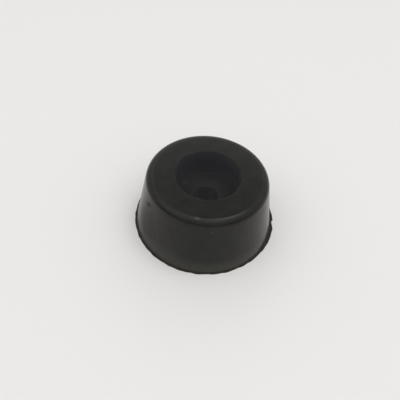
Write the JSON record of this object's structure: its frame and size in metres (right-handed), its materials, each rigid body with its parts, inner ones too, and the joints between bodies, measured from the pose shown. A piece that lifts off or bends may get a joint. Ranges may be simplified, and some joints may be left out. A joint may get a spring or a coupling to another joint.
{
  "type": "rubber foot",
  "caption": "Tapered round rubber bumper foot with a deep counterbored screw hole and a thin ring of moulding flash around its mounting face.",
  "frame": {"origin": "centre of the screw hole at the wide mounting face, on which the foot stands", "axes": "+Z along the screw hole, from the mounting face to the tread face; the untrimmed stretch of flash lies towards +X"},
  "size_m": [0.0259, 0.0255, 0.0117],
  "materials": {
    "rubber": "satin"
  },
  "bodies": {
    "root": {"rubber_foot": "rubber"}
  },
  "joints": []
}
